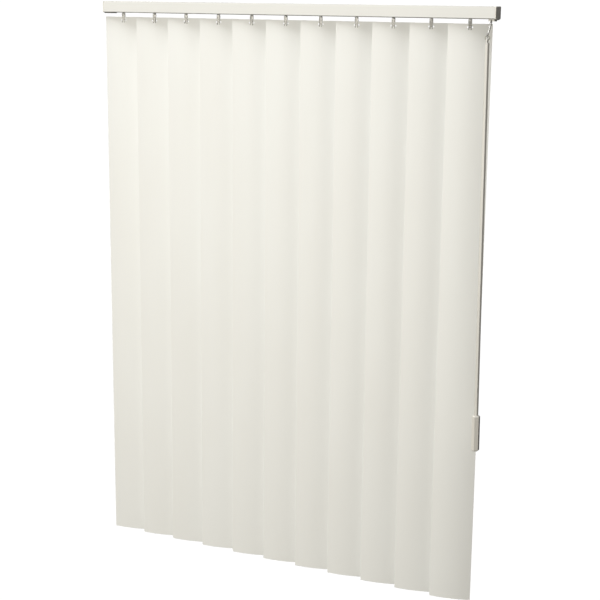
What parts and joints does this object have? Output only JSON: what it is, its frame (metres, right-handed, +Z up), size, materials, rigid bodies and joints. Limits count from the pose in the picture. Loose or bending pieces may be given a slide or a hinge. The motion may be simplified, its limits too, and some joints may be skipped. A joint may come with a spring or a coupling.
{
  "type": "vertical blind",
  "caption": "Vertical blind: a slim headrail with hanging curved vanes that a wand turns together and draws to one side.",
  "frame": {"origin": "middle of the headrail's top face, where the fixing brackets hold it", "axes": "+X along the headrail to the wand end, +Y to the back, towards the window, +Z up out of the headrail's top face"},
  "size_m": [0.9069, 0.0486, 1.218],
  "materials": {
    "rail_enamel": "smooth satin enamel",
    "cap_plastic": "moulded satin",
    "rod_aluminium": "drawn",
    "carrier_plastic": "moulded",
    "gear_plastic": "moulded",
    "stem_plastic": "clear grey, moulded",
    "vane_vinyl": "fine-grained vinyl",
    "ring_steel": "bright wire",
    "wand_plastic": "extruded, satin",
    "grip_plastic": "moulded, satin"
  },
  "bodies": {
    "rail": {"headrail": "rail_enamel", "end_cap_left": "cap_plastic", "end_cap_right": "cap_plastic", "carrier_01": "carrier_plastic"},
    "rod": {"tilt_rod": "rod_aluminium"},
    "carriage_11": {"carrier_11": "carrier_plastic", "wand_carrier": "carrier_plastic"},
    "carriage_02": {"carrier_02": "carrier_plastic"},
    "carriage_03": {"carrier_03": "carrier_plastic"},
    "carriage_04": {"carrier_04": "carrier_plastic"},
    "carriage_05": {"carrier_05": "carrier_plastic"},
    "carriage_06": {"carrier_06": "carrier_plastic"},
    "carriage_07": {"carrier_07": "carrier_plastic"},
    "carriage_08": {"carrier_08": "carrier_plastic"},
    "carriage_09": {"carrier_09": "carrier_plastic"},
    "carriage_10": {"carrier_10": "carrier_plastic"},
    "vane_set_01": {"stem_01": "stem_plastic", "vane_01": "vane_vinyl"},
    "worm_set_01": {"worm_01": "gear_plastic"},
    "vane_set_02": {"stem_02": "stem_plastic", "vane_02": "vane_vinyl"},
    "worm_set_02": {"worm_02": "gear_plastic"},
    "vane_set_03": {"stem_03": "stem_plastic", "vane_03": "vane_vinyl"},
    "worm_set_03": {"worm_03": "gear_plastic"},
    "vane_set_04": {"stem_04": "stem_plastic", "vane_04": "vane_vinyl"},
    "worm_set_04": {"worm_04": "gear_plastic"},
    "vane_set_05": {"stem_05": "stem_plastic", "vane_05": "vane_vinyl"},
    "worm_set_05": {"worm_05": "gear_plastic"},
    "vane_set_06": {"stem_06": "stem_plastic", "vane_06": "vane_vinyl"},
    "worm_set_06": {"worm_06": "gear_plastic"},
    "vane_set_07": {"stem_07": "stem_plastic", "vane_07": "vane_vinyl"},
    "worm_set_07": {"worm_07": "gear_plastic"},
    "vane_set_08": {"stem_08": "stem_plastic", "vane_08": "vane_vinyl"},
    "worm_set_08": {"worm_08": "gear_plastic"},
    "vane_set_09": {"stem_09": "stem_plastic", "vane_09": "vane_vinyl"},
    "worm_set_09": {"worm_09": "gear_plastic"},
    "vane_set_10": {"stem_10": "stem_plastic", "vane_10": "vane_vinyl"},
    "worm_set_10": {"worm_10": "gear_plastic"},
    "vane_set_11": {"stem_11": "stem_plastic", "vane_11": "vane_vinyl"},
    "worm_set_11": {"worm_11": "gear_plastic"},
    "drive_gear": {"wand_drive_gear": "gear_plastic"},
    "hook": {"wand_hook_shaft": "stem_plastic"},
    "ring": {"wand_ring": "ring_steel"},
    "wand": {"wand": "wand_plastic", "wand_grip": "grip_plastic"}
  },
  "joints": [
    {"name": "draw", "type": "slide", "parent": "rail", "child": "carriage_11", "axis": [-1, 0, 0], "range_m": [0, 0.611]},
    {"name": "draw_02", "type": "slide", "parent": "rail", "child": "carriage_02", "axis": [-1, 0, 0], "range_m": [-0.001, 0.0621]},
    {"name": "draw_03", "type": "slide", "parent": "rail", "child": "carriage_03", "axis": [-1, 0, 0], "range_m": [-0.001, 0.1232]},
    {"name": "draw_04", "type": "slide", "parent": "rail", "child": "carriage_04", "axis": [-1, 0, 0], "range_m": [-0.001, 0.1843]},
    {"name": "draw_05", "type": "slide", "parent": "rail", "child": "carriage_05", "axis": [-1, 0, 0], "range_m": [-0.001, 0.2454]},
    {"name": "draw_06", "type": "slide", "parent": "rail", "child": "carriage_06", "axis": [-1, 0, 0], "range_m": [-0.001, 0.3065]},
    {"name": "draw_07", "type": "slide", "parent": "rail", "child": "carriage_07", "axis": [-1, 0, 0], "range_m": [-0.001, 0.3676]},
    {"name": "draw_08", "type": "slide", "parent": "rail", "child": "carriage_08", "axis": [-1, 0, 0], "range_m": [-0.001, 0.4287]},
    {"name": "draw_09", "type": "slide", "parent": "rail", "child": "carriage_09", "axis": [-1, 0, 0], "range_m": [-0.001, 0.4898]},
    {"name": "draw_10", "type": "slide", "parent": "rail", "child": "carriage_10", "axis": [-1, 0, 0], "range_m": [-0.001, 0.5509]},
    {"name": "tilt", "type": "hinge", "parent": "rail", "child": "vane_set_01", "pos_m": [-0.406, 0, -0.033], "axis": [0, 0, 1], "range_deg": [0, 154.29]},
    {"name": "worm_turn_01", "type": "hinge", "parent": "rail", "child": "worm_set_01", "pos_m": [-0.406, -0.0072, -0.0115], "axis": [1, 0, 0], "range_deg": [-5, 1085]},
    {"name": "tilt_02", "type": "hinge", "parent": "carriage_02", "child": "vane_set_02", "pos_m": [-0.3259, 0, -0.033], "axis": [0, 0, 1], "range_deg": [-1, 155.29]},
    {"name": "worm_turn_02", "type": "hinge", "parent": "carriage_02", "child": "worm_set_02", "pos_m": [-0.3259, -0.0072, -0.0115], "axis": [1, 0, 0], "range_deg": [-5, 1085]},
    {"name": "tilt_03", "type": "hinge", "parent": "carriage_03", "child": "vane_set_03", "pos_m": [-0.2458, 0, -0.033], "axis": [0, 0, 1], "range_deg": [-1, 155.29]},
    {"name": "worm_turn_03", "type": "hinge", "parent": "carriage_03", "child": "worm_set_03", "pos_m": [-0.2458, -0.0072, -0.0115], "axis": [1, 0, 0], "range_deg": [-5, 1085]},
    {"name": "tilt_04", "type": "hinge", "parent": "carriage_04", "child": "vane_set_04", "pos_m": [-0.1657, 0, -0.033], "axis": [0, 0, 1], "range_deg": [-1, 155.29]},
    {"name": "worm_turn_04", "type": "hinge", "parent": "carriage_04", "child": "worm_set_04", "pos_m": [-0.1657, -0.0072, -0.0115], "axis": [1, 0, 0], "range_deg": [-5, 1085]},
    {"name": "tilt_05", "type": "hinge", "parent": "carriage_05", "child": "vane_set_05", "pos_m": [-0.0856, 0, -0.033], "axis": [0, 0, 1], "range_deg": [-1, 155.29]},
    {"name": "worm_turn_05", "type": "hinge", "parent": "carriage_05", "child": "worm_set_05", "pos_m": [-0.0856, -0.0072, -0.0115], "axis": [1, 0, 0], "range_deg": [-5, 1085]},
    {"name": "tilt_06", "type": "hinge", "parent": "carriage_06", "child": "vane_set_06", "pos_m": [-0.0055, 0, -0.033], "axis": [0, 0, 1], "range_deg": [-1, 155.29]},
    {"name": "worm_turn_06", "type": "hinge", "parent": "carriage_06", "child": "worm_set_06", "pos_m": [-0.0055, -0.0072, -0.0115], "axis": [1, 0, 0], "range_deg": [-5, 1085]},
    {"name": "tilt_07", "type": "hinge", "parent": "carriage_07", "child": "vane_set_07", "pos_m": [0.0746, 0, -0.033], "axis": [0, 0, 1], "range_deg": [-1, 155.29]},
    {"name": "worm_turn_07", "type": "hinge", "parent": "carriage_07", "child": "worm_set_07", "pos_m": [0.0746, -0.0072, -0.0115], "axis": [1, 0, 0], "range_deg": [-5, 1085]},
    {"name": "tilt_08", "type": "hinge", "parent": "carriage_08", "child": "vane_set_08", "pos_m": [0.1547, 0, -0.033], "axis": [0, 0, 1], "range_deg": [-1, 155.29]},
    {"name": "worm_turn_08", "type": "hinge", "parent": "carriage_08", "child": "worm_set_08", "pos_m": [0.1547, -0.0072, -0.0115], "axis": [1, 0, 0], "range_deg": [-5, 1085]},
    {"name": "tilt_09", "type": "hinge", "parent": "carriage_09", "child": "vane_set_09", "pos_m": [0.2348, 0, -0.033], "axis": [0, 0, 1], "range_deg": [-1, 155.29]},
    {"name": "worm_turn_09", "type": "hinge", "parent": "carriage_09", "child": "worm_set_09", "pos_m": [0.2348, -0.0072, -0.0115], "axis": [1, 0, 0], "range_deg": [-5, 1085]},
    {"name": "tilt_10", "type": "hinge", "parent": "carriage_10", "child": "vane_set_10", "pos_m": [0.3149, 0, -0.033], "axis": [0, 0, 1], "range_deg": [-1, 155.29]},
    {"name": "worm_turn_10", "type": "hinge", "parent": "carriage_10", "child": "worm_set_10", "pos_m": [0.3149, -0.0072, -0.0115], "axis": [1, 0, 0], "range_deg": [-5, 1085]},
    {"name": "tilt_11", "type": "hinge", "parent": "carriage_11", "child": "vane_set_11", "pos_m": [0.395, 0, -0.033], "axis": [0, 0, 1], "range_deg": [-1, 155.29]},
    {"name": "worm_turn_11", "type": "hinge", "parent": "carriage_11", "child": "worm_set_11", "pos_m": [0.395, -0.0072, -0.0115], "axis": [1, 0, 0], "range_deg": [-5, 1085]},
    {"name": "rod_turn", "type": "hinge", "parent": "rail", "child": "rod", "pos_m": [0, -0.0072, -0.0115], "axis": [1, 0, 0], "range_deg": [-5, 1085]},
    {"name": "drive_turn", "type": "hinge", "parent": "carriage_11", "child": "drive_gear", "pos_m": [0.44027, -0.0072, -0.0115], "axis": [1, 0, 0], "range_deg": [-5, 1085]},
    {"name": "hook_turn", "type": "hinge", "parent": "carriage_11", "child": "hook", "pos_m": [0.44027, -0.0263, -0.054], "axis": [0, -0.5878, -0.809], "range_deg": [-5, 1085]},
    {"name": "wand_turn", "type": "hinge", "parent": "carriage_11", "child": "ring", "pos_m": [0.44027, -0.0263, -0.054], "axis": [0.0105, 0, -0.9999], "range_deg": [-5, 1085]},
    {"name": "wand_swing", "type": "hinge", "parent": "ring", "child": "wand", "pos_m": [0.44037, -0.0263, -0.0632], "axis": [-0.9999, 0, -0.0105], "range_deg": [0, 45]}
  ],
  "couplings": [
    {"joint": "draw_02", "follows": "draw", "ratio": 0.1},
    {"joint": "draw_03", "follows": "draw", "ratio": 0.2},
    {"joint": "draw_04", "follows": "draw", "ratio": 0.3},
    {"joint": "draw_05", "follows": "draw", "ratio": 0.4},
    {"joint": "draw_06", "follows": "draw", "ratio": 0.5},
    {"joint": "draw_07", "follows": "draw", "ratio": 0.6},
    {"joint": "draw_08", "follows": "draw", "ratio": 0.7},
    {"joint": "draw_09", "follows": "draw", "ratio": 0.8},
    {"joint": "draw_10", "follows": "draw", "ratio": 0.9},
    {"joint": "worm_turn_01", "follows": "tilt", "ratio": 7},
    {"joint": "tilt_02", "follows": "tilt", "ratio": 1},
    {"joint": "worm_turn_02", "follows": "tilt", "ratio": 7},
    {"joint": "tilt_03", "follows": "tilt", "ratio": 1},
    {"joint": "worm_turn_03", "follows": "tilt", "ratio": 7},
    {"joint": "tilt_04", "follows": "tilt", "ratio": 1},
    {"joint": "worm_turn_04", "follows": "tilt", "ratio": 7},
    {"joint": "tilt_05", "follows": "tilt", "ratio": 1},
    {"joint": "worm_turn_05", "follows": "tilt", "ratio": 7},
    {"joint": "tilt_06", "follows": "tilt", "ratio": 1},
    {"joint": "worm_turn_06", "follows": "tilt", "ratio": 7},
    {"joint": "tilt_07", "follows": "tilt", "ratio": 1},
    {"joint": "worm_turn_07", "follows": "tilt", "ratio": 7},
    {"joint": "tilt_08", "follows": "tilt", "ratio": 1},
    {"joint": "worm_turn_08", "follows": "tilt", "ratio": 7},
    {"joint": "tilt_09", "follows": "tilt", "ratio": 1},
    {"joint": "worm_turn_09", "follows": "tilt", "ratio": 7},
    {"joint": "tilt_10", "follows": "tilt", "ratio": 1},
    {"joint": "worm_turn_10", "follows": "tilt", "ratio": 7},
    {"joint": "tilt_11", "follows": "tilt", "ratio": 1},
    {"joint": "worm_turn_11", "follows": "tilt", "ratio": 7},
    {"joint": "rod_turn", "follows": "tilt", "ratio": 7},
    {"joint": "drive_turn", "follows": "tilt", "ratio": 7},
    {"joint": "hook_turn", "follows": "tilt", "ratio": 7},
    {"joint": "wand_turn", "follows": "tilt", "ratio": 7}
  ]
}
